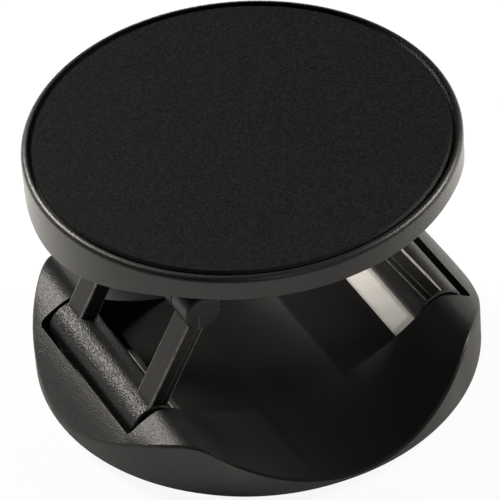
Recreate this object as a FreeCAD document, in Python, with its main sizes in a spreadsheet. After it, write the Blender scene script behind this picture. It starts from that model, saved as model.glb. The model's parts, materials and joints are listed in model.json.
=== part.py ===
import FreeCAD, Part
import math
import os
import Sketcher

# Phone grip stand: a round base that sticks to a phone, two pairs of hinged legs, and a round disc.
# The legs fold towards the middle, so the disc sinks onto the base.
# X runs across the two legs, Y along their hinge pins with the front at -Y, and Z is up.
# The origin is the middle of the adhesive pad's underside. Lengths are in millimetres, angles in degrees.

DRIVING_SIZES = [
    # Adhesive pad
    ("pad_inset", 1.0, "distance of the foam pad's edge inside the base's edge"),
    ("pad_thickness", 0.8, "thickness of the foam pad"),
    # Base
    ("base_radius", 20.0, "radius of the base"),
    ("base_edge_height", 0.9, "height of the base wall at its two sides"),
    ("base_edge_break", 0.2, "chamfer on the top and bottom edges of the base's wall"),
    ("crest_inset", 6.6, "distance of each crest inside the base's side"),
    ("crest_height", 5.8, "height of the crests above the base's underside"),
    ("crest_round", 2.4, "round along each crest"),
    ("dome_radius", 10.35, "radius of the top from a crest out to the side"),
    ("trough_floor", 0.65, "thickness of the base at the bottom of the finger trough"),
    ("recess_floor", 1.1, "thickness of the base under the folded legs"),
    ("recess_gap", 0.65, "gap between a lower leg's barrel and the outer wall of its recess"),
    ("recess_corner", 0.6, "round in the upright corners of the leg recess"),
    ("window_gap", 1.75, "gap between a lower leg's barrel and the inner edge of its window"),
    # Hinges
    ("hinge_inset", 5.6, "distance of each base hinge inside the base's side"),
    ("hinge_height", 3.3, "height of the base hinges above the base's underside"),
    ("trunnion_radius", 0.9, "radius of the stub pins at the ends of a lower leg's barrel"),
    ("socket_depth", 1.2, "depth of the base's sockets for the stub pins"),
    ("pin_radius", 0.55, "radius of the steel pins"),
    ("pin_end_wall", 1.2, "wall that closes the front end of a knee bore"),
    ("running_clearance", 0.05, "radial clearance of a pin that turns"),
    ("seat_clearance", 0.02, "radial clearance of a pin that is driven in"),
    ("loose_clearance", 0.15, "radial clearance of the right leg on its disc pin"),
    ("side_gap", 0.2, "gap between the side faces of hinged pieces"),
    # Lower legs
    ("leg_half_width", 8.25, "half the length of a lower leg's barrel"),
    ("barrel_radius", 2.25, "radius of a lower leg's barrel"),
    ("barrel_end_gap", 0.45, "gap between a barrel's end and the end wall of its recess"),
    ("lower_leg_length", 12.0, "distance from the base hinge to the knee"),
    ("lower_leg_lean", 28.0, "lean of the opened lower legs towards the middle"),
    ("arm_inset", 0.2, "distance of an arm's outer side inside the ends of barrel and knuckle"),
    ("arm_width", 2.5, "width of a lower leg's arm along the hinge"),
    ("arm_thickness", 1.7, "thickness of an arm"),
    ("arm_offset", 1.3, "distance of an arm's outer face from the hinge, at the barrel"),
    ("knuckle_radius", 1.74, "radius of the knee knuckles"),
    ("arm_round", 0.15, "round on the long edges of an arm"),
    ("end_break", 0.15, "chamfer on the ends of the barrels and knuckles"),
    # Upper legs
    ("upper_leg_length", 7.5, "distance from the knee to the disc hinge"),
    ("upper_leg_lean", 9.1, "lean of the opened upper legs away from the middle"),
    ("shoulder_width", 2.5, "width of each shoulder beside an upper leg's neck"),
    ("shoulder_drop", 1.6, "distance of an upper leg's shoulders below the disc hinge"),
    ("eye_radius", 1.1, "radius of an upper leg's eye and of the lugs beside it"),
    ("eye_gap", 0.15, "gap between an eye and the disc's plate"),
    # Disc
    ("disc_radius", 19.15, "radius of the disc"),
    ("rim_width", 1.55, "thickness of the disc's rim wall"),
    ("rim_height", 2.5, "height of the rim at the front and back"),
    ("rim_top_round", 0.5, "round on the rim's top edge"),
    ("rim_bottom_break", 0.3, "chamfer on the rim's bottom edge"),
    ("skirt_start", 11.5, "distance from the middle where the rim starts to reach down"),
    ("skirt_drop", 2.4, "how much further the rim reaches down at its two sides"),
    ("plate_thickness", 1.1, "thickness of the plate under the cap"),
    ("lug_width", 2.0, "width of a disc lug along the hinge"),
    ("cap_radius", 18.2, "radius of the inlaid cap"),
    ("cap_thickness", 0.65, "thickness of the cap"),
    ("cap_edge_break", 0.2, "chamfer on the cap's top edge"),
    ("groove_width", 0.4, "width of the groove between cap and rim"),
]

SIDES = {"left": -1, "right": 1}
SKETCH_AXES = {"horizontal": -1, "vertical": -2}
CUT_MARGIN = 1.0
CLOSE = 1e-4
UP = FreeCAD.Vector(0, 0, 1)
HINGE_DIRECTION = FreeCAD.Vector(0, 1, 0)


class Size:
    """A number together with the expression that ties it to the sheet."""

    def __init__(self, value, text):
        self.value = value
        self.text = text

    def joined(self, sign, other, value):
        return Size(value, "(%s %s %s)" % (self.text, sign, other.text))

    def __add__(self, other):
        other = as_size(other)
        return self.joined("+", other, self.value + other.value)

    def __sub__(self, other):
        other = as_size(other)
        return self.joined("-", other, self.value - other.value)

    def __mul__(self, other):
        other = as_size(other)
        return self.joined("*", other, self.value * other.value)

    def __truediv__(self, other):
        other = as_size(other)
        return self.joined("/", other, self.value / other.value)

    def __neg__(self):
        return self * -1

    __rmul__ = __mul__


def as_size(number):
    """A plain number as a Size; a Size stays as it is."""
    if isinstance(number, Size):
        return number
    return Size(float(number), "(%r)" % float(number))


def sine(angle):
    return Size(math.sin(math.radians(angle.value)), "sin(%s * 1 deg)" % angle.text)


def cosine(angle):
    return Size(math.cos(math.radians(angle.value)), "cos(%s * 1 deg)" % angle.text)


def root(size):
    return Size(math.sqrt(size.value), "sqrt(%s)" % size.text)


def arc_radius(run, rise):
    """Radius of the arc that rises this much over this run from its level point."""
    return (run * run + rise * rise) / (2 * rise)


def arc_rise(run, radius):
    """How much an arc of this radius rises over this run from its level point."""
    return radius - root(radius * radius - run * run)


def fill_sheet(doc):
    """The sheet of driving sizes, one aliased cell for each."""
    sheet = doc.addObject("Spreadsheet::Sheet", "sizes")
    for row, (name, value, note) in enumerate(DRIVING_SIZES, 1):
        sheet.set("A%d" % row, name)
        sheet.set("B%d" % row, str(value))
        sheet.set("C%d" % row, note)
        sheet.setAlias("B%d" % row, name)
    doc.recompute()
    return sheet


doc = FreeCAD.newDocument("phone_grip_stand")
sheet = fill_sheet(doc)
dim = {name: Size(float(sheet.get(name)), "sizes." + name) for name, value, note in DRIVING_SIZES}

# Places that several pieces share

ZERO = as_size(0)
hinge_x = dim["base_radius"] - dim["hinge_inset"]
hinge_z = dim["pad_thickness"] + dim["hinge_height"]
knee_x = hinge_x - dim["lower_leg_length"] * sine(dim["lower_leg_lean"])
knee_z = hinge_z + dim["lower_leg_length"] * cosine(dim["lower_leg_lean"])
disc_hinge_x = knee_x + dim["upper_leg_length"] * sine(dim["upper_leg_lean"])
disc_hinge_z = knee_z + dim["upper_leg_length"] * cosine(dim["upper_leg_lean"])
plate_bottom = disc_hinge_z + dim["eye_radius"] + dim["eye_gap"]
plate_top = plate_bottom + dim["plate_thickness"]
disc_top = plate_top + dim["cap_thickness"]
rim_bottom = disc_top - dim["rim_height"]
recess_half_width = dim["leg_half_width"] + dim["barrel_end_gap"]
arm_outer_side = dim["leg_half_width"] - dim["arm_inset"]
arm_inner_side = arm_outer_side - dim["arm_width"]
upper_half_width = arm_inner_side - dim["side_gap"]
neck_half_width = upper_half_width - dim["shoulder_width"]
lug_inner_face = neck_half_width + dim["side_gap"]
lug_outer_face = lug_inner_face + dim["lug_width"]


def tie(thing, path, size):
    """Bind one property of an object to the sheet."""
    thing.setExpression(path, size.text)


def place(thing, x, z, y=ZERO, axis=HINGE_DIRECTION, angle=ZERO):
    """Put a piece at x, y, z, turned by an angle about an axis, all tied to the sheet."""
    turn = FreeCAD.Rotation(axis, angle.value)
    thing.Placement = FreeCAD.Placement(FreeCAD.Vector(x.value, y.value, z.value), turn)
    tie(thing, "Placement.Base.x", x)
    tie(thing, "Placement.Base.y", y)
    tie(thing, "Placement.Base.z", z)
    if angle.value:
        thing.setExpression("Placement.Rotation.Angle", "%s * 1 deg" % angle.text)


def new_body(name):
    body = doc.addObject("PartDesign::Body", name)
    body.Label = name
    return body


def new_sketch(body, name):
    """An empty sketch on the body's own XZ plane."""
    sketch = body.newObject("Sketcher::SketchObject", name)
    for feature in body.Origin.OriginFeatures:
        if feature.Role == "XZ_Plane":
            sketch.AttachmentSupport = (feature, [""])
    sketch.MapMode = "FlatFace"
    return sketch


def hold(sketch, constraint, size):
    """Add a dimension to a sketch and tie it to the sheet."""
    number = sketch.addConstraint(constraint)
    tie(sketch, "Constraints[%d]" % number, size)


def hold_point(sketch, item, end, x, y):
    """Fix one point of a sketch at x, y."""
    for kind, axis, size in (("DistanceX", "vertical", x), ("DistanceY", "horizontal", y)):
        if size.value == 0:
            sketch.addConstraint(Sketcher.Constraint("PointOnObject", item, end, SKETCH_AXES[axis]))
        else:
            hold(sketch, Sketcher.Constraint(kind, item, end, size.value), size)


def circles(body, name, centres, radius):
    """A sketch of equal circles."""
    sketch = new_sketch(body, name)
    for x, y in centres:
        centre = FreeCAD.Vector(x.value, y.value, 0)
        item = sketch.addGeometry(Part.Circle(centre, UP, radius.value), False)
        hold_point(sketch, item, 3, x, y)
        hold(sketch, Sketcher.Constraint("Radius", item, radius.value), radius)
    return sketch


def arc_between(start, end, radius, turn):
    """The smaller arc from start to end; a turn of 1 is anticlockwise, -1 is clockwise."""
    chord = end - start
    across = FreeCAD.Vector(-chord.y, chord.x, 0).normalize()
    rise = math.sqrt(radius ** 2 - (chord.Length / 2) ** 2)
    centre = (start + end) * 0.5 + across * (rise * turn)
    ends = (start, end) if turn > 0 else (end, start)
    angles = [math.atan2(point.y - centre.y, point.x - centre.x) for point in ends]
    return Part.ArcOfCircle(Part.Circle(centre, UP, radius), angles[0], angles[1])


def outline(body, name, corners, arcs=None):
    """A closed sketch through corners; arcs gives (radius, turn) for the side that starts at a corner."""
    sketch = new_sketch(body, name)
    arcs = arcs or {}
    points = [FreeCAD.Vector(x.value, y.value, 0) for x, y in corners]
    sides = []
    for number, start in enumerate(points):
        end = points[(number + 1) % len(points)]
        if number in arcs:
            radius, turn = arcs[number]
            item = sketch.addGeometry(arc_between(start, end, radius.value, turn), False)
            sides.append((item, 1, 2) if turn > 0 else (item, 2, 1))
        else:
            item = sketch.addGeometry(Part.LineSegment(start, end), False)
            sides.append((item, 1, 2))
    for number, (item, first, last) in enumerate(sides):
        following = sides[(number + 1) % len(sides)]
        sketch.addConstraint(Sketcher.Constraint("Coincident", item, last, following[0], following[1]))
    for (item, first, last), (x, y) in zip(sides, corners):
        hold_point(sketch, item, first, x, y)
    for number, (radius, turn) in arcs.items():
        hold(sketch, Sketcher.Constraint("Radius", sides[number][0], radius.value), radius)
    return sketch


def block(body, name, low_x, high_x, low_z, high_z):
    """A rectangular outline."""
    return outline(body, name, [(low_x, low_z), (high_x, low_z), (high_x, high_z), (low_x, high_z)])


def both_ways(body, kind, sketch, half_length):
    """A pad or pocket that runs equally to the front and to the back."""
    feature = body.newObject("PartDesign::" + kind, sketch.Name + "_" + kind.lower())
    feature.Profile = sketch
    feature.SideType = "Symmetric"
    tie(feature, "Length", 2 * half_length)
    doc.recompute()
    return feature


def bore(body, sketch, to_front, to_back):
    """A pocket that runs different lengths to the front and to the back."""
    feature = body.newObject("PartDesign::Pocket", sketch.Name + "_bore")
    feature.Profile = sketch
    feature.SideType = "Two sides"
    tie(feature, "Length", to_back)
    tie(feature, "Length2", to_front)
    doc.recompute()
    return feature


def revolve(body, sketch):
    """A solid turned about the upright axis."""
    feature = body.newObject("PartDesign::Revolution", sketch.Name + "_turned")
    feature.Profile = sketch
    feature.ReferenceAxis = (sketch, ["V_Axis"])
    feature.Angle = 360
    doc.recompute()
    return feature


def soften(body, kind, name, size, chosen):
    """Round or chamfer the edges of the body's last feature that the test chooses."""
    base = body.Tip
    edges = ["Edge%d" % number for number, edge in enumerate(base.Shape.Edges, 1) if chosen(edge)]
    feature = body.newObject("PartDesign::" + kind, name)
    feature.Base = (base, edges)
    tie(feature, {"Fillet": "Radius", "Chamfer": "Size"}[kind], size)
    doc.recompute()
    return feature


def close_to(number, target):
    return abs(number - target) < CLOSE


def all_at(edge, axis, target):
    """True for an edge that keeps one coordinate throughout."""
    box = edge.BoundBox
    low = getattr(box, axis + "Min")
    high = getattr(box, axis + "Max")
    return close_to(low, target) and close_to(high, target)


def on_wall(edge, radius):
    """True for an edge that lies on the round outer wall and runs along it."""
    points = edge.discretize(9)
    return all(close_to(math.hypot(point.x, point.y), radius) for point in points)


def make_adhesive_pad():
    """Round foam pad with adhesive on both faces."""
    pad = doc.addObject("Part::Cylinder", "adhesive_pad")
    pad.Label = "adhesive_pad"
    tie(pad, "Radius", dim["base_radius"] - dim["pad_inset"])
    tie(pad, "Height", dim["pad_thickness"])
    return pad


def make_base():
    """Domed base with a finger trough across it, a leg recess, two windows and four hinge sockets."""
    body = new_body("base_body")
    radius = dim["base_radius"]
    blank_top = dim["crest_height"] + CUT_MARGIN
    revolve(body, block(body, "base_blank", ZERO, radius, ZERO, blank_top))

    crest = (radius - dim["crest_inset"], dim["crest_height"])
    trough_radius = arc_radius(crest[0], crest[1] - dim["trough_floor"])
    past_side = radius + CUT_MARGIN
    above = blank_top + CUT_MARGIN
    edge = dim["base_edge_height"]
    top_corners = [
        (-past_side, above), (-past_side, edge), (-radius, edge), (-crest[0], crest[1]),
        crest, (radius, edge), (past_side, edge), (past_side, above),
    ]
    top_arcs = {2: (dim["dome_radius"], -1), 3: (trough_radius, 1), 4: (dim["dome_radius"], -1)}
    both_ways(body, "Pocket", outline(body, "base_top", top_corners, top_arcs), past_side)

    def on_crest(line):
        return all_at(line, "Z", crest[1].value) and close_to(abs(line.CenterOfMass.x), crest[0].value)
    soften(body, "Fillet", "crest_round", dim["crest_round"], on_crest)

    reach = hinge_x + dim["barrel_radius"] + dim["recess_gap"]
    start = hinge_x - dim["barrel_radius"] - dim["window_gap"]
    floor = dim["recess_floor"]
    below = as_size(-CUT_MARGIN)
    recess_corners = [
        (-reach, above), (-reach, below), (-start, below), (-start, floor),
        (start, floor), (start, below), (reach, below), (reach, above),
    ]
    both_ways(body, "Pocket", outline(body, "leg_recess", recess_corners), recess_half_width)

    def recess_upright(line):
        middle = line.CenterOfMass
        at_wall = close_to(abs(middle.x), reach.value) and close_to(abs(middle.y), recess_half_width.value)
        return at_wall and line.BoundBox.ZLength > CUT_MARGIN
    soften(body, "Fillet", "recess_corners", dim["recess_corner"], recess_upright)

    sockets = [(side * hinge_x, dim["hinge_height"]) for side in SIDES.values()]
    socket_radius = dim["trunnion_radius"] + dim["running_clearance"]
    socket_end = recess_half_width + dim["socket_depth"]
    both_ways(body, "Pocket", circles(body, "hinge_sockets", sockets, socket_radius), socket_end)

    def wall_edge(line):
        return on_wall(line, radius.value)
    soften(body, "Chamfer", "base_edges", dim["base_edge_break"], wall_edge)
    place(body, ZERO, dim["pad_thickness"])
    return body


def make_lower_leg(name, side):
    """Barrel with stub pins, and two arms on it that end in knee knuckles."""
    body = new_body(name)
    half_width = dim["leg_half_width"]
    length = dim["lower_leg_length"]
    thickness = dim["arm_thickness"]
    outward = side
    hinge = [(ZERO, ZERO)]
    knee = [(ZERO, length)]

    def round_end(line):
        return close_to(line.BoundBox.YLength, 0) and close_to(abs(line.CenterOfMass.y), half_width.value)

    def barrel_end(line):
        return round_end(line) and line.CenterOfMass.z < length.value / 2

    def arm_edge(line):
        return isinstance(line.Curve, Part.Line) and line.BoundBox.ZLength > length.value / 2
    arm_corners = [
        (outward * dim["arm_offset"], ZERO), (outward * thickness / 2, length),
        (-outward * thickness / 2, length), (outward * (dim["arm_offset"] - thickness), ZERO),
    ]
    both_ways(body, "Pad", outline(body, name + "_arms", arm_corners), arm_outer_side)
    both_ways(body, "Pad", circles(body, name + "_knuckles", knee, dim["knuckle_radius"]), half_width)
    soften(body, "Chamfer", name + "_knuckle_ends", dim["end_break"], round_end)
    gap_side = dim["knuckle_radius"] + CUT_MARGIN
    inside_barrel = dim["barrel_radius"] / 2
    gap = block(body, name + "_gap", -gap_side, gap_side, inside_barrel, length + gap_side)
    both_ways(body, "Pocket", gap, arm_inner_side)
    soften(body, "Fillet", name + "_arm_edges", dim["arm_round"], arm_edge)
    both_ways(body, "Pad", circles(body, name + "_barrel", hinge, dim["barrel_radius"]), half_width)
    soften(body, "Chamfer", name + "_barrel_ends", dim["end_break"], barrel_end)
    stub_end = recess_half_width + dim["socket_depth"] - dim["side_gap"]
    both_ways(body, "Pad", circles(body, name + "_stubs", hinge, dim["trunnion_radius"]), stub_end)
    pin_seat = dim["pin_radius"] + dim["seat_clearance"]
    knee_bore = circles(body, name + "_knee", knee, pin_seat)
    bore(body, knee_bore, half_width - dim["pin_end_wall"], half_width)
    place(body, side * hinge_x, hinge_z, angle=-side * dim["lower_leg_lean"])
    return body


def make_upper_leg(name, side, eye_clearance):
    """Plate with a knee barrel below and a narrower eye above."""
    body = new_body(name)
    length = dim["upper_leg_length"]
    half_thickness = dim["arm_thickness"] / 2
    knee = [(ZERO, ZERO)]
    eye = [(ZERO, length)]
    both_ways(body, "Pad", circles(body, name + "_barrel", knee, dim["knuckle_radius"]), upper_half_width)
    shoulder = length - dim["shoulder_drop"]
    plate = block(body, name + "_plate", -half_thickness, half_thickness, ZERO, shoulder)
    both_ways(body, "Pad", plate, upper_half_width)
    neck = block(body, name + "_neck", -half_thickness, half_thickness, ZERO, length)
    both_ways(body, "Pad", neck, neck_half_width)
    both_ways(body, "Pad", circles(body, name + "_eye", eye, dim["eye_radius"]), neck_half_width)
    knee_bore = circles(body, name + "_knee", knee, dim["pin_radius"] + dim["running_clearance"])
    both_ways(body, "Pocket", knee_bore, upper_half_width)
    eye_bore = circles(body, name + "_bore", eye, dim["pin_radius"] + eye_clearance)
    both_ways(body, "Pocket", eye_bore, neck_half_width)
    place(body, side * knee_x, knee_z, angle=side * dim["upper_leg_lean"])
    return body


def make_pin(name, x, z, front, back):
    """Plain steel pin along the hinge direction."""
    pin = doc.addObject("Part::Cylinder", name)
    pin.Label = name
    tie(pin, "Radius", dim["pin_radius"])
    tie(pin, "Height", back - front)
    lie_down = FreeCAD.Rotation(FreeCAD.Vector(1, 0, 0), -90)
    pin.Placement = FreeCAD.Placement(FreeCAD.Vector(x.value, front.value, z.value), lie_down)
    tie(pin, "Placement.Base.x", x)
    tie(pin, "Placement.Base.y", front)
    tie(pin, "Placement.Base.z", z)
    return pin


def make_disc_tray():
    """Plate with a rim that reaches down at its two sides, and two pairs of hinge lugs."""
    body = new_body("disc_tray")
    radius = dim["disc_radius"]
    hollow = radius - dim["rim_width"]
    ledge = dim["cap_radius"] + dim["groove_width"]
    start = dim["skirt_start"]
    skirt_radius = arc_radius(radius - start, dim["skirt_drop"])
    past_rim = radius + CUT_MARGIN
    skirt_end = rim_bottom - arc_rise(past_rim - start, skirt_radius)
    profile = [
        (ZERO, plate_bottom), (hollow, plate_bottom), (hollow, skirt_end), (radius, skirt_end),
        (radius, disc_top), (ledge, disc_top), (ledge, plate_top), (ZERO, plate_top),
    ]
    revolve(body, outline(body, "tray_profile", profile))

    below = skirt_end - CUT_MARGIN
    under_corners = [
        (-past_rim, below), (past_rim, below), (past_rim, skirt_end),
        (start, rim_bottom), (-start, rim_bottom), (-past_rim, skirt_end),
    ]
    under_arcs = {2: (skirt_radius, 1), 4: (skirt_radius, 1)}
    both_ways(body, "Pocket", outline(body, "tray_underside", under_corners, under_arcs), past_rim)

    def rim_top(line):
        return on_wall(line, radius.value) and all_at(line, "Z", disc_top.value)

    def rim_foot(line):
        return on_wall(line, radius.value) and line.BoundBox.ZMax < rim_bottom.value + CLOSE
    soften(body, "Fillet", "rim_top_edge", dim["rim_top_round"], rim_top)
    soften(body, "Chamfer", "rim_bottom_edge", dim["rim_bottom_break"], rim_foot)

    lug = dim["eye_radius"]
    inside_plate = plate_bottom + dim["plate_thickness"] / 2
    hinges = [(side * disc_hinge_x, disc_hinge_z) for side in SIDES.values()]
    for word, (x, z) in zip(SIDES, hinges):
        corners = [
            (x + lug, z), (x + lug, inside_plate), (x - lug, inside_plate), (x - lug, z), (x, z - lug),
        ]
        arcs = {3: (lug, 1), 4: (lug, 1)}
        both_ways(body, "Pad", outline(body, word + "_lugs", corners, arcs), lug_outer_face)
        clear = lug + CUT_MARGIN
        gap = block(body, word + "_lug_gap", x - clear, x + clear, z - clear, plate_bottom)
        both_ways(body, "Pocket", gap, lug_inner_face)
    pin_seat = dim["pin_radius"] + dim["seat_clearance"]
    both_ways(body, "Pocket", circles(body, "lug_bores", hinges, pin_seat), lug_outer_face)
    return body


def make_disc_cap():
    """Flat inlaid cap with a broken edge."""
    body = new_body("disc_cap")
    radius = dim["cap_radius"]
    slant = dim["cap_edge_break"]
    profile = [
        (ZERO, plate_top), (radius, plate_top), (radius, disc_top - slant),
        (radius - slant, disc_top), (ZERO, disc_top),
    ]
    revolve(body, outline(body, "cap_profile", profile))
    return body


knee_pin_front = dim["pin_end_wall"] - dim["leg_half_width"]
pieces = [
    make_adhesive_pad(),
    make_base(),
    make_lower_leg("left_lower_leg", SIDES["left"]),
    make_lower_leg("right_lower_leg", SIDES["right"]),
    make_upper_leg("left_upper_leg", SIDES["left"], dim["running_clearance"]),
    make_upper_leg("right_upper_leg", SIDES["right"], dim["loose_clearance"]),
    make_pin("left_knee_pin", -knee_x, knee_z, knee_pin_front, dim["leg_half_width"]),
    make_pin("right_knee_pin", knee_x, knee_z, knee_pin_front, dim["leg_half_width"]),
    make_disc_tray(),
    make_disc_cap(),
    make_pin("left_disc_pin", -disc_hinge_x, disc_hinge_z, -lug_outer_face, lug_outer_face),
    make_pin("right_disc_pin", disc_hinge_x, disc_hinge_z, -lug_outer_face, lug_outer_face),
]
doc.recompute()

# Nothing is written unless every object is sound

for thing in doc.Objects:
    if "Invalid" in thing.State or "Error" in thing.State:
        raise RuntimeError("%s did not build: %s" % (thing.Label, thing.State))
for piece in pieces:
    if piece.Shape.isNull() or not piece.Shape.isValid():
        raise RuntimeError("%s has no valid shape" % piece.Label)
    if len(piece.Shape.Solids) != 1:
        raise RuntimeError("%s is %d solids" % (piece.Label, len(piece.Shape.Solids)))

os.makedirs("parts", exist_ok=True)
for piece in pieces:
    piece.Shape.exportStep("parts/%s.step" % piece.Label)
    box = piece.Shape.BoundBox
    print("%-18s volume %8.1f  x %7.2f %7.2f  y %7.2f %7.2f  z %6.2f %6.2f" % (
        piece.Label, piece.Shape.Volume, box.XMin, box.XMax, box.YMin, box.YMax, box.ZMin, box.ZMax))
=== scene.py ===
import json
import math

import bmesh
import bpy
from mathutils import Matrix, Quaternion, Vector


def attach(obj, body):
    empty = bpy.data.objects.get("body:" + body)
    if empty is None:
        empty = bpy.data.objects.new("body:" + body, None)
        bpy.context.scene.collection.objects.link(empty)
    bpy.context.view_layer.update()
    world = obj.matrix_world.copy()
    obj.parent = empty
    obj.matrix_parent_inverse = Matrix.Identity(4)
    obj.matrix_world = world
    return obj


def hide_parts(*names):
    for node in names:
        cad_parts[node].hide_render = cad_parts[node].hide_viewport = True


# Phone grip stand in black moulded plastic, on a white studio floor.
# Lengths are in metres, in the frame's own axes: X across the legs, front at -Y, Z up.

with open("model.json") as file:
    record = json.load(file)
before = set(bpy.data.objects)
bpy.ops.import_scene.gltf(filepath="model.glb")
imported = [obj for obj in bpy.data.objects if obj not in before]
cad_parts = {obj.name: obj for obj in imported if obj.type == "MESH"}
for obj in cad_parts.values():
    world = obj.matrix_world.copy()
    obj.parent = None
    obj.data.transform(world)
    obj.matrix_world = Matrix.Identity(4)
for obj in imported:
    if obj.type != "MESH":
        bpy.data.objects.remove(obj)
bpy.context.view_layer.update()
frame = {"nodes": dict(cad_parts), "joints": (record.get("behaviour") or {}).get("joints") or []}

MM = 0.001
UP = Vector((0, 0, 1))

# Shading of the pieces

WELD_DISTANCE = 0.001 * MM
SHARP_ANGLE = math.radians(32)
# A face of a long thin rounded edge: greatest width, least length, least turn from all but one neighbour
EDGE_NAME = "rounded_edge"
EDGE_WIDTH = 0.06 * MM
EDGE_LENGTH = 2 * MM
EDGE_TURN = math.radians(1)

# Where a finish changes: round the legs' barrels, and at the trough's half width on the base

BARREL_RADIUS = 2.25 * MM
BARREL_BLEND = 0.3 * MM
TROUGH_EDGE = 12.5 * MM
TROUGH_BLEND = 2 * MM

# Black mouldings of base and rim: grain, colours on the noise, roughness and shine

GRAIN_SIZE = 0.115 * MM
CLOUD_SIZE = 5 * MM
MOULDED_BLACK = [(0.35, (0.003, 0.003, 0.0029)), (0.65, (0.0045, 0.0045, 0.0043))]
DOME_GRAIN_DEPTH = 0.033 * MM
TROUGH_GRAIN_SHARE = 0.2
TROUGH_ROUGHNESS = 0.32
DOME_ROUGHNESS = 0.47
DOME_SHINE = {"Specular IOR Level": 0.52}
RIM_GRAIN_DEPTH = 0.018 * MM
RIM_PIT_SIZE = 0.3 * MM
RIM_ROUGHNESS = (0.40, 0.48)
RIM_SHINE = {"Specular IOR Level": 0.2, "Coat Weight": 1.0, "Coat IOR": 1.33, "Coat Roughness": 0.34}

# Black mouldings of the legs, painted paler on their edges, partly as rubbed wear and partly as a
# painted highlight

LEG_BLACK = [(0.35, (0.005, 0.005, 0.0049)), (0.65, (0.0075, 0.0075, 0.0073))]
LEG_FLOW_SIZE = 2.5 * MM
LEG_FLOW_STRETCH = (1, 1, 0.3)
LEG_GRAIN_DEPTH = 0.05 * MM
ARM_GRAIN_SHARE = 0.25
LEG_SHINE = {"Specular IOR Level": 0.42, "Roughness": 0.38}
# Paler colour of the legs' thin edges: partly rubbed wear, partly a painted highlight
RUBBED_AND_HIGHLIT_EDGE = (0.42, 0.4, 0.37, 1)
RUB_AND_HIGHLIGHT_PATCH_SIZE = 0.5 * MM

# Soft cap, foam and steel

CAP_GRAIN_SIZE = 0.2 * MM
CAP_GRAIN_DEPTH = 0.04 * MM
CAP_BLACK = [(0.38, (0.0035, 0.0035, 0.0038)), (0.66, (0.0105, 0.0106, 0.0113))]
CAP_ROUGHNESS = (0.4, 0.5)
CAP_SHINE = {"Specular IOR Level": 0.1}
FOAM_CELL_SIZE = 0.3 * MM
FOAM_CELL_DEPTH = 0.03 * MM
FOAM_CELL_STRENGTH = 0.5
FOAM_CLOUD_SIZE = 2 * MM
FOAM_WHITE = [(0.3, (0.72, 0.70, 0.67)), (0.7, (0.8, 0.785, 0.76))]
FOAM_SHINE = {"Roughness": 0.7}
STEEL_MARK_SIZE = 0.08 * MM
STEEL_MARK_STRETCH = (1, 0.05, 1)
STEEL_GREY = [(0.3, (0.42, 0.42, 0.43)), (0.7, (0.56, 0.56, 0.57))]
STEEL_ROUGHNESS = (0.25, 0.4)
STEEL_SHINE = {"Metallic": 1.0}

# Parting line of each lower leg's mould: where it runs on the arms and the front knuckle

ARM_SIDE = 8.05 * MM
ARM_FOOT = 2.2 * MM
KNUCKLE_END = 8.25 * MM
KNUCKLE_FLAT = 1.58 * MM
LINE_SHIFT_AT_FOOT = -0.17 * MM
LINE_SHIFT = 0.2 * MM
LINE_BEND = Vector((-0.45, 0, -0.15)) * MM
LINE_END = Vector((1.54, 0, -0.1)) * MM
LINE_RADIUS = 0.035 * MM
LINE_SIDES = 6
# How much of the paler edge colour, partly wear and partly painted highlight, the parting line takes on
# the arms and on the front knuckle
ARM_LINE_PALENESS = 0.25
KNUCKLE_LINE_PALENESS = 0.7

# Camera, fitted to the photograph, and its directions before its roll

VIEW_AZIMUTH = math.radians(-25)
VIEW_ELEVATION = math.radians(40.55)
VIEW_ROLL = math.radians(-4.6)
VIEW_TARGET = Vector((-0.045, 0.05, 11.855)) * MM
VIEW_DISTANCE = 400 * MM
VIEW_NEAREST = 0.01
VIEW_FARTHEST = 20
FOCAL_LENGTH_MM = 326.7
SENSOR_MM = 36
VIEW_RIGHT = Vector((math.cos(VIEW_AZIMUTH), math.sin(VIEW_AZIMUTH), 0))
VIEW_AWAY = UP.cross(VIEW_RIGHT)
VIEW_BACK = UP * math.sin(VIEW_ELEVATION) - VIEW_AWAY * math.cos(VIEW_ELEVATION)

# Studio floor: how much of the object's shadow is seen straight on, and in reflections

FLOOR_HALF_SIZE = 3.0
FLOOR_DROP = 0.01 * MM
FLOOR_COLOUR = (0.92, 0.92, 0.92, 1)
FLOOR_GLOW = 1.0
SEEN_SHADOW = 0.08
MIRRORED_SHADOW = 0.95

# Studio walls near the horizon and the dark room above them: brightness, and sine of the height

WALL_COLOUR = (1, 1, 1, 1)
WALL_LIGHT = 0.2
CEILING_LIGHT = 0.04
WALL_TOP = 0.15
CEILING_START = 0.5

# Softboxes: direction from the object (right, away, up as the camera stands), distance, size, power

LAMP_COLOUR = (1.0, 0.955, 0.89)
SOFTBOXES = {
    "left_softbox": ((-0.6, 0.47, 0.66), 0.26, 0.08, 0.84),
    "right_softbox": ((0.78, 0.22, 0.58), 0.26, 0.1, 0.68),
}

# Narrow lamp from the front, on the foam in the window under the disc

SPOT_DIRECTION = (0.1, -0.757, 0.653)
SPOT_DISTANCE = 0.4
SPOT_TARGET = Vector((10, 0, 1.5)) * MM
SPOT_POWER = 2.3
SPOT_ANGLE = math.radians(3)
SPOT_BLEND = 0.5
SPOT_RADIUS = 0.01

# Sockets of the Mix node for colours: its factor, its two colours and its result

MIX_FACTOR = 0
MIX_FIRST = 6
MIX_SECOND = 7
MIX_RESULT = 2


# Node helpers


def new_material(name, constants):
    """A node material with one shader and its constant inputs: the material, its tree and the shader."""
    material = bpy.data.materials.new(name)
    material.use_nodes = True
    shader = material.node_tree.nodes["Principled BSDF"]
    for key, value in constants.items():
        shader.inputs[key].default_value = value
    return material, material.node_tree, shader


def add_node(tree, kind, inputs=None, **settings):
    """A node with its settings and unlinked inputs."""
    node = tree.nodes.new(kind)
    for key, value in settings.items():
        setattr(node, key, value)
    for key, value in (inputs or {}).items():
        node.inputs[key].default_value = value
    return node


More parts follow.
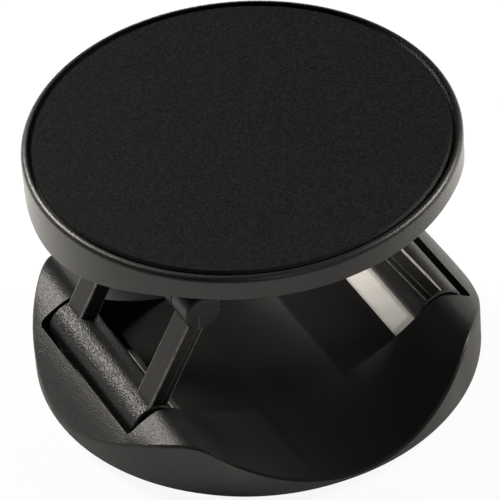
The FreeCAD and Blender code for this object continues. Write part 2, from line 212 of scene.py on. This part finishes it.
def object_noise(tree, size, detail=2.0, roughness=0.5, stretch=(1, 1, 1)):
    """Noise on the piece's own coordinates; size is the width of one grain."""
    place = add_node(tree, "ShaderNodeTexCoord")
    mapping = add_node(tree, "ShaderNodeMapping", {"Scale": stretch})
    noise = add_node(tree, "ShaderNodeTexNoise",
                     {"Scale": 1 / size, "Detail": detail, "Roughness": roughness})
    tree.links.new(place.outputs["Object"], mapping.inputs["Vector"])
    tree.links.new(mapping.outputs["Vector"], noise.inputs["Vector"])
    return noise.outputs["Fac"]


def mirrored_place(tree):
    """The piece's own coordinates, folded so that the object's left side reads as its right."""
    place = add_node(tree, "ShaderNodeTexCoord")
    mirrored = add_node(tree, "ShaderNodeVectorMath", operation="ABSOLUTE")
    tree.links.new(place.outputs["Object"], mirrored.inputs[0])
    return mirrored.outputs["Vector"]


def ramp(tree, factor, stops):
    """A colour ramp over a factor; stops are two pairs of position and colour."""
    node = add_node(tree, "ShaderNodeValToRGB")
    for element, (position, colour) in zip(node.color_ramp.elements, stops):
        element.position = position
        element.color = (*colour, 1)
    tree.links.new(factor, node.inputs["Fac"])
    return node.outputs["Color"]


def span(tree, factor, low, high):
    """A factor from 0 to 1, spread over another range."""
    node = add_node(tree, "ShaderNodeMapRange", {"To Min": low, "To Max": high})
    tree.links.new(factor, node.inputs["Value"])
    return node.outputs["Result"]


def combined(tree, operation, first, second):
    """Two factors made one by an operation such as MULTIPLY or MAXIMUM."""
    node = add_node(tree, "ShaderNodeMath", operation=operation)
    tree.links.new(first, node.inputs[0])
    tree.links.new(second, node.inputs[1])
    return node.outputs["Value"]


def bump(tree, height, depth, strength=1.0):
    """A bump of this depth from a height."""
    node = add_node(tree, "ShaderNodeBump", {"Distance": depth, "Strength": strength})
    tree.links.new(height, node.inputs["Height"])
    return node.outputs["Normal"]


def mixed_shaders(tree, share, first, second):
    """Two shaders mixed, with this share of the second."""
    node = add_node(tree, "ShaderNodeMixShader")
    tree.links.new(share, node.inputs["Fac"])
    tree.links.new(first, node.inputs[1])
    tree.links.new(second, node.inputs[2])
    return node.outputs["Shader"]


def worn_and_highlit(tree, colour):
    """A colour painted paler, unevenly, along the piece's thin rounded edges: partly rubbed wear, partly
    a painted highlight.
    """
    edge = add_node(tree, "ShaderNodeAttribute", attribute_name=EDGE_NAME)
    rubbed_and_highlit = combined(tree, "MULTIPLY", edge.outputs["Fac"], object_noise(tree, RUB_AND_HIGHLIGHT_PATCH_SIZE))
    blend = add_node(tree, "ShaderNodeMix", {MIX_SECOND: RUBBED_AND_HIGHLIT_EDGE}, data_type="RGBA")
    tree.links.new(rubbed_and_highlit, blend.inputs[MIX_FACTOR])
    tree.links.new(colour, blend.inputs[MIX_FIRST])
    return blend.outputs[MIX_RESULT]


# Finishes


def dome_mask(tree):
    """1 on the base's outer dome, 0 in its smoother trough and recesses."""
    across = add_node(tree, "ShaderNodeSeparateXYZ")
    mask = add_node(tree, "ShaderNodeMapRange",
                    {"From Min": TROUGH_EDGE - TROUGH_BLEND, "From Max": TROUGH_EDGE})
    tree.links.new(mirrored_place(tree), across.inputs["Vector"])
    tree.links.new(across.outputs["X"], mask.inputs["Value"])
    return mask.outputs["Result"]


def dome_plastic():
    """Black moulding of the base: spark-eroded on the dome, smoother in the trough."""
    material, tree, shader = new_material("dome_plastic", DOME_SHINE)
    dome = dome_mask(tree)
    grain = object_noise(tree, GRAIN_SIZE, detail=0.0)
    relief = combined(tree, "MULTIPLY", grain, span(tree, dome, TROUGH_GRAIN_SHARE, 1.0))
    colour = ramp(tree, object_noise(tree, CLOUD_SIZE), MOULDED_BLACK)
    roughness = span(tree, dome, TROUGH_ROUGHNESS, DOME_ROUGHNESS)
    tree.links.new(colour, shader.inputs["Base Color"])
    tree.links.new(roughness, shader.inputs["Roughness"])
    tree.links.new(bump(tree, relief, DOME_GRAIN_DEPTH), shader.inputs["Normal"])
    return material


def rim_plastic():
    """Black moulding of the disc's rim: a shallower grain with a soft sheen."""
    material, tree, shader = new_material("rim_plastic", RIM_SHINE)
    grain = bump(tree, object_noise(tree, GRAIN_SIZE, detail=0.0), RIM_GRAIN_DEPTH)
    colour = ramp(tree, object_noise(tree, CLOUD_SIZE), MOULDED_BLACK)
    roughness = span(tree, object_noise(tree, RIM_PIT_SIZE), *RIM_ROUGHNESS)
    tree.links.new(colour, shader.inputs["Base Color"])
    tree.links.new(roughness, shader.inputs["Roughness"])
    tree.links.new(grain, shader.inputs["Normal"])
    tree.links.new(grain, shader.inputs["Coat Normal"])
    return material


def barrel_mask(tree):
    """1 on the legs' hinge barrels, which lie along Y, and 0 on their arms and links."""
    axis = joint_place("right_base_hinge")
    from_axis = add_node(tree, "ShaderNodeVectorMath", {1: axis}, operation="SUBTRACT")
    flat = add_node(tree, "ShaderNodeVectorMath", {1: (1, 0, 1)}, operation="MULTIPLY")
    distance = add_node(tree, "ShaderNodeVectorMath", operation="LENGTH")
    mask = add_node(tree, "ShaderNodeMapRange",
                    {"From Min": BARREL_RADIUS + BARREL_BLEND, "From Max": BARREL_RADIUS})
    tree.links.new(mirrored_place(tree), from_axis.inputs[0])
    tree.links.new(from_axis.outputs["Vector"], flat.inputs[0])
    tree.links.new(flat.outputs["Vector"], distance.inputs[0])
    tree.links.new(distance.outputs["Value"], mask.inputs["Value"])
    return mask.outputs["Result"]


def leg_plastic():
    """Black moulding of the legs: grained barrels, smoother arms, and thin edges painted paler, partly
    as wear and partly as a highlight.
    """
    material, tree, shader = new_material("leg_plastic", LEG_SHINE)
    grain = object_noise(tree, GRAIN_SIZE, detail=0.0)
    relief = combined(tree, "MULTIPLY", grain, span(tree, barrel_mask(tree), ARM_GRAIN_SHARE, 1.0))
    flow = object_noise(tree, LEG_FLOW_SIZE, stretch=LEG_FLOW_STRETCH)
    colour = worn_and_highlit(tree, ramp(tree, flow, LEG_BLACK))
    tree.links.new(colour, shader.inputs["Base Color"])
    tree.links.new(bump(tree, relief, LEG_GRAIN_DEPTH), shader.inputs["Normal"])
    return material


def soft_cap():
    """Matt black face of the disc, with a soft fine grain."""
    material, tree, shader = new_material("soft_cap", CAP_SHINE)
    grain = object_noise(tree, CAP_GRAIN_SIZE, roughness=0.7)
    tree.links.new(ramp(tree, grain, CAP_BLACK), shader.inputs["Base Color"])
    tree.links.new(span(tree, grain, *CAP_ROUGHNESS), shader.inputs["Roughness"])
    tree.links.new(bump(tree, grain, CAP_GRAIN_DEPTH), shader.inputs["Normal"])
    return material


def white_foam():
    """White closed-cell foam."""
    material, tree, shader = new_material("white_foam", FOAM_SHINE)
    cells = object_noise(tree, FOAM_CELL_SIZE, detail=3.0, roughness=0.6)
    colour = ramp(tree, object_noise(tree, FOAM_CLOUD_SIZE), FOAM_WHITE)
    tree.links.new(colour, shader.inputs["Base Color"])
    tree.links.new(bump(tree, cells, FOAM_CELL_DEPTH, FOAM_CELL_STRENGTH), shader.inputs["Normal"])
    return material


def drawn_steel():
    """Plain drawn steel of the pins, with fine marks along them."""
    material, tree, shader = new_material("drawn_steel", STEEL_SHINE)
    marks = object_noise(tree, STEEL_MARK_SIZE, detail=3.0, roughness=0.6, stretch=STEEL_MARK_STRETCH)
    tree.links.new(ramp(tree, marks, STEEL_GREY), shader.inputs["Base Color"])
    tree.links.new(span(tree, marks, *STEEL_ROUGHNESS), shader.inputs["Roughness"])
    return material


# Pieces


def add_object(name, data):
    """An object of the scene with this mesh, lamp or camera."""
    item = bpy.data.objects.new(name, data)
    bpy.context.scene.collection.objects.link(item)
    return item


def joint_place(name):
    """Where a joint's axis passes, as the frame gives it."""
    return next(Vector(joint["pos_m"]) for joint in frame["joints"] if joint["name"] == name)


def settle(piece, modifier):
    """Turn a modifier's result into the piece's plain mesh."""
    graph = bpy.context.evaluated_depsgraph_get()
    finished = bpy.data.meshes.new_from_object(piece.evaluated_get(graph))
    piece.modifiers.remove(modifier)
    finished.name = piece.name
    piece.data = finished


def thin_edge(face):
    """1 for a face of a long thin rounded edge, else 0; only one neighbour may lie level with it."""
    length = max(edge.calc_length() for edge in face.edges)
    width = 2 * face.calc_area() / length
    turns = sorted(edge.calc_face_angle() for edge in face.edges if edge.is_manifold)
    return float(width < EDGE_WIDTH and length > EDGE_LENGTH and turns[1] > EDGE_TURN)


def weighted_normals(piece):
    """Keep large flat faces flat up to their broken edges."""
    modifier = piece.modifiers.new("normals", "WEIGHTED_NORMAL")
    modifier.keep_sharp = True
    settle(piece, modifier)


def dressed(node, name, body, material):
    """A welded, smoothly shaded copy of a solid's mesh, which stands for it."""
    shape = bmesh.new()
    shape.from_mesh(frame["nodes"][node].data)
    bmesh.ops.remove_doubles(shape, verts=shape.verts, dist=WELD_DISTANCE)
    edge_mark = shape.faces.layers.float.new(EDGE_NAME)
    for face in shape.faces:
        face.smooth = True
        face[edge_mark] = thin_edge(face)
    for edge in shape.edges:
        edge.smooth = edge.is_manifold and edge.calc_face_angle() < SHARP_ANGLE
    mesh = bpy.data.meshes.new(name)
    shape.to_mesh(mesh)
    shape.free()
    mesh.materials.clear()
    mesh.materials.append(material)
    piece = add_object(name, mesh)
    weighted_normals(piece)
    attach(piece, body)
    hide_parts(node)


def parting_line_tree(material):
    """Node tree of a thin raised line, swept along the runs that its inputs give, and its inputs."""
    tree = bpy.data.node_groups.new("parting_line", "GeometryNodeTree")
    kinds = {"NodeSocketVector": ("Foot", "Top", "Knuckle", "Bend", "End"),
             "NodeSocketFloat": ("Radius", "Arm Paleness", "Knuckle Paleness")}
    sockets = {}
    for kind, names in kinds.items():
        for name in names:
            socket = tree.interface.new_socket(name, in_out="INPUT", socket_type=kind)
            sockets[name] = socket.identifier
    tree.interface.new_socket("Geometry", in_out="OUTPUT", socket_type="NodeSocketGeometry")
    given = add_node(tree, "NodeGroupInput").outputs

    # The runs: up both arms, and over the front knuckle
    runs = add_node(tree, "GeometryNodeJoinGeometry")
    for start, end in (("Foot", "Top"), ("Knuckle", "Bend"), ("Bend", "End")):
        run = add_node(tree, "GeometryNodeCurvePrimitiveLine")
        tree.links.new(given[start], run.inputs["Start"])
        tree.links.new(given[end], run.inputs["End"])
        tree.links.new(run.outputs["Curve"], runs.inputs["Geometry"])
        if start == "Foot":
            back_run = add_node(tree, "GeometryNodeTransform", {"Scale": (1, -1, 1)})
            tree.links.new(run.outputs["Curve"], back_run.inputs["Geometry"])
            tree.links.new(back_run.outputs["Geometry"], runs.inputs["Geometry"])

    # A thin round section along them
    section = add_node(tree, "GeometryNodeCurvePrimitiveCircle", {"Resolution": LINE_SIDES})
    swept = add_node(tree, "GeometryNodeCurveToMesh", {"Fill Caps": True})
    tree.links.new(given["Radius"], section.inputs["Radius"])
    tree.links.new(runs.outputs["Geometry"], swept.inputs["Curve"])
    tree.links.new(section.outputs["Curve"], swept.inputs["Profile Curve"])

    # How pale it is painted with the edge colour, partly wear and partly painted highlight: more on the
    # front knuckle, which stands further out than the arms
    place = add_node(tree, "GeometryNodeInputPosition")
    forward = add_node(tree, "ShaderNodeSeparateXYZ")
    line_paleness = add_node(tree, "ShaderNodeMapRange", {"From Min": -KNUCKLE_END, "From Max": -ARM_SIDE})
    rubbed_and_highlit = add_node(tree, "GeometryNodeStoreNamedAttribute", {"Name": EDGE_NAME}, domain="FACE")
    tree.links.new(place.outputs["Position"], forward.inputs["Vector"])
    tree.links.new(forward.outputs["Y"], line_paleness.inputs["Value"])
    tree.links.new(given["Knuckle Paleness"], line_paleness.inputs["To Min"])
    tree.links.new(given["Arm Paleness"], line_paleness.inputs["To Max"])
    tree.links.new(swept.outputs["Mesh"], rubbed_and_highlit.inputs["Geometry"])
    tree.links.new(line_paleness.outputs["Result"], rubbed_and_highlit.inputs["Value"])

    realized = add_node(tree, "GeometryNodeRealizeInstances")
    coloured = add_node(tree, "GeometryNodeSetMaterial", {"Material": material})
    result = add_node(tree, "NodeGroupOutput")
    tree.links.new(rubbed_and_highlit.outputs["Geometry"], realized.inputs["Geometry"])
    tree.links.new(realized.outputs["Geometry"], coloured.inputs["Geometry"])
    tree.links.new(coloured.outputs["Geometry"], result.inputs["Geometry"])
    return tree, sockets


def add_parting_line(side, tree, sockets):
    """The raised parting line of one lower leg's mould."""
    hinge = joint_place(side + "_base_hinge")
    knee = joint_place(side + "_knee")
    along = (knee - hinge).normalized()
    inward = Vector((-math.copysign(1, hinge.x), 1, 1))
    across = Vector((abs(along.z), 0, -abs(along.x))) * inward
    on_arm = Vector((0, -ARM_SIDE, 0))
    on_knuckle = knee + Vector((0, -KNUCKLE_END, 0))
    values = {
        "Foot": tuple(hinge + on_arm + along * ARM_FOOT + across * LINE_SHIFT_AT_FOOT),
        "Top": tuple(knee + on_arm - along * KNUCKLE_FLAT + across * LINE_SHIFT),
        "Knuckle": tuple(on_knuckle - along * KNUCKLE_FLAT + across * LINE_SHIFT),
        "Bend": tuple(on_knuckle + LINE_BEND * inward),
        "End": tuple(on_knuckle + LINE_END * inward),
        "Radius": LINE_RADIUS,
        "Arm Paleness": ARM_LINE_PALENESS,
        "Knuckle Paleness": KNUCKLE_LINE_PALENESS,
    }
    name = side + "_parting_line"
    piece = add_object(name, bpy.data.meshes.new(name))
    modifier = piece.modifiers.new("parting_line", "NODES")
    modifier.node_group = tree
    for socket, value in values.items():
        modifier[sockets[socket]] = value
    settle(piece, modifier)
    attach(piece, side + "_lower")


def dress_all():
    """Every piece in its finish."""
    dome = dome_plastic()
    rim = rim_plastic()
    leg = leg_plastic()
    cap = soft_cap()
    foam = white_foam()
    steel = drawn_steel()
    line_tree, line_sockets = parting_line_tree(leg)
    dressed("adhesive_pad", "foam_pad", "base", foam)
    dressed("base_body", "domed_base", "base", dome)
    dressed("disc_tray", "disc_rim", "disc", rim)
    dressed("disc_cap", "disc_face", "disc", cap)
    for side in ("left", "right"):
        lower = side + "_lower"
        dressed(lower + "_leg", side + "_leg_frame", lower, leg)
        dressed(side + "_upper_leg", side + "_leg_link", side + "_upper", leg)
        dressed(side + "_knee_pin", side + "_knee_rod", lower, steel)
        dressed(side + "_disc_pin", side + "_disc_rod", "disc", steel)
        add_parting_line(side, line_tree, line_sockets)


# Studio


def add_camera():
    """Camera where the photograph was taken from."""
    data = bpy.data.cameras.new("camera")
    data.lens = FOCAL_LENGTH_MM
    data.sensor_width = SENSOR_MM
    data.clip_start = VIEW_NEAREST
    data.clip_end = VIEW_FARTHEST
    camera = add_object("camera", data)
    camera.location = VIEW_TARGET + VIEW_BACK * VIEW_DISTANCE
    camera.rotation_mode = "QUATERNION"
    level = (-VIEW_BACK).to_track_quat("-Z", "Y")
    camera.rotation_quaternion = level @ Quaternion(UP, VIEW_ROLL)
    bpy.context.scene.camera = camera


def aim(lamp, target, direction, distance):
    """Stand a lamp off a target, in a direction as the camera stands, and turn it to the target."""
    right, away, up = direction
    towards = VIEW_RIGHT * right + VIEW_AWAY * away + UP * up
    lamp.location = target + towards.normalized() * distance
    lamp.rotation_mode = "QUATERNION"
    lamp.rotation_quaternion = (-towards).to_track_quat("-Z", "Y")


def add_softboxes():
    """Square soft lamps at the left and the right."""
    for name, (direction, distance, size, power) in SOFTBOXES.items():
        data = bpy.data.lights.new(name, "AREA")
        data.shape = "SQUARE"
        data.size = size
        data.energy = power
        data.color = LAMP_COLOUR
        aim(add_object(name, data), VIEW_TARGET, direction, distance)


def add_spot():
    """Narrow lamp from the front, on the foam in the window under the disc."""
    data = bpy.data.lights.new("front_spot", "SPOT")
    data.energy = SPOT_POWER
    data.color = LAMP_COLOUR
    data.spot_size = SPOT_ANGLE
    data.spot_blend = SPOT_BLEND
    data.shadow_soft_size = SPOT_RADIUS
    aim(add_object("front_spot", data), SPOT_TARGET, SPOT_DIRECTION, SPOT_DISTANCE)


def floor_paint():
    """Pale paint that lights the object as paint, and shows white with a share of its shadow."""
    material = bpy.data.materials.new("floor")
    material.use_nodes = True
    tree = material.node_tree
    tree.nodes.clear()
    paint = add_node(tree, "ShaderNodeBsdfDiffuse", {"Color": FLOOR_COLOUR}).outputs["BSDF"]
    glow = add_node(tree, "ShaderNodeEmission", {"Strength": FLOOR_GLOW}).outputs["Emission"]
    rays = add_node(tree, "ShaderNodeLightPath").outputs
    straight_or_mirrored = combined(tree, "MAXIMUM", rays["Is Camera Ray"], rays["Is Glossy Ray"])
    seen = combined(tree, "MAXIMUM", straight_or_mirrored, rays["Is Transmission Ray"])
    shadow = span(tree, rays["Is Camera Ray"], MIRRORED_SHADOW, SEEN_SHADOW)
    shown = mixed_shaders(tree, shadow, glow, paint)
    output = add_node(tree, "ShaderNodeOutputMaterial")
    tree.links.new(mixed_shaders(tree, seen, paint, shown), output.inputs["Surface"])
    return material


def add_floor():
    """Pale floor that shows white, with the object's soft shadow."""
    corners = [(x * FLOOR_HALF_SIZE, y * FLOOR_HALF_SIZE, -FLOOR_DROP)
               for x, y in ((-1, -1), (1, -1), (1, 1), (-1, 1))]
    mesh = bpy.data.meshes.new("floor")
    mesh.from_pydata(corners, [], [(0, 1, 2, 3)])
    mesh.materials.append(floor_paint())
    floor = add_object("floor", mesh)


def set_world():
    """Studio walls that fade into a dark ceiling."""
    world = bpy.data.worlds.new("studio")
    world.use_nodes = True
    tree = world.node_tree
    place = add_node(tree, "ShaderNodeTexCoord")
    height = add_node(tree, "ShaderNodeSeparateXYZ")
    light = add_node(tree, "ShaderNodeMapRange",
                     {"From Min": WALL_TOP, "From Max": CEILING_START,
                      "To Min": WALL_LIGHT, "To Max": CEILING_LIGHT})
    background = tree.nodes["Background"]
    background.inputs["Color"].default_value = WALL_COLOUR
    tree.links.new(place.outputs["Generated"], height.inputs["Vector"])
    tree.links.new(height.outputs["Z"], light.inputs["Value"])
    tree.links.new(light.outputs["Result"], background.inputs["Strength"])
    bpy.context.scene.world = world


dress_all()
add_floor()
add_softboxes()
add_spot()
set_world()
add_camera()
bpy.context.scene.view_settings.view_transform = "Standard"
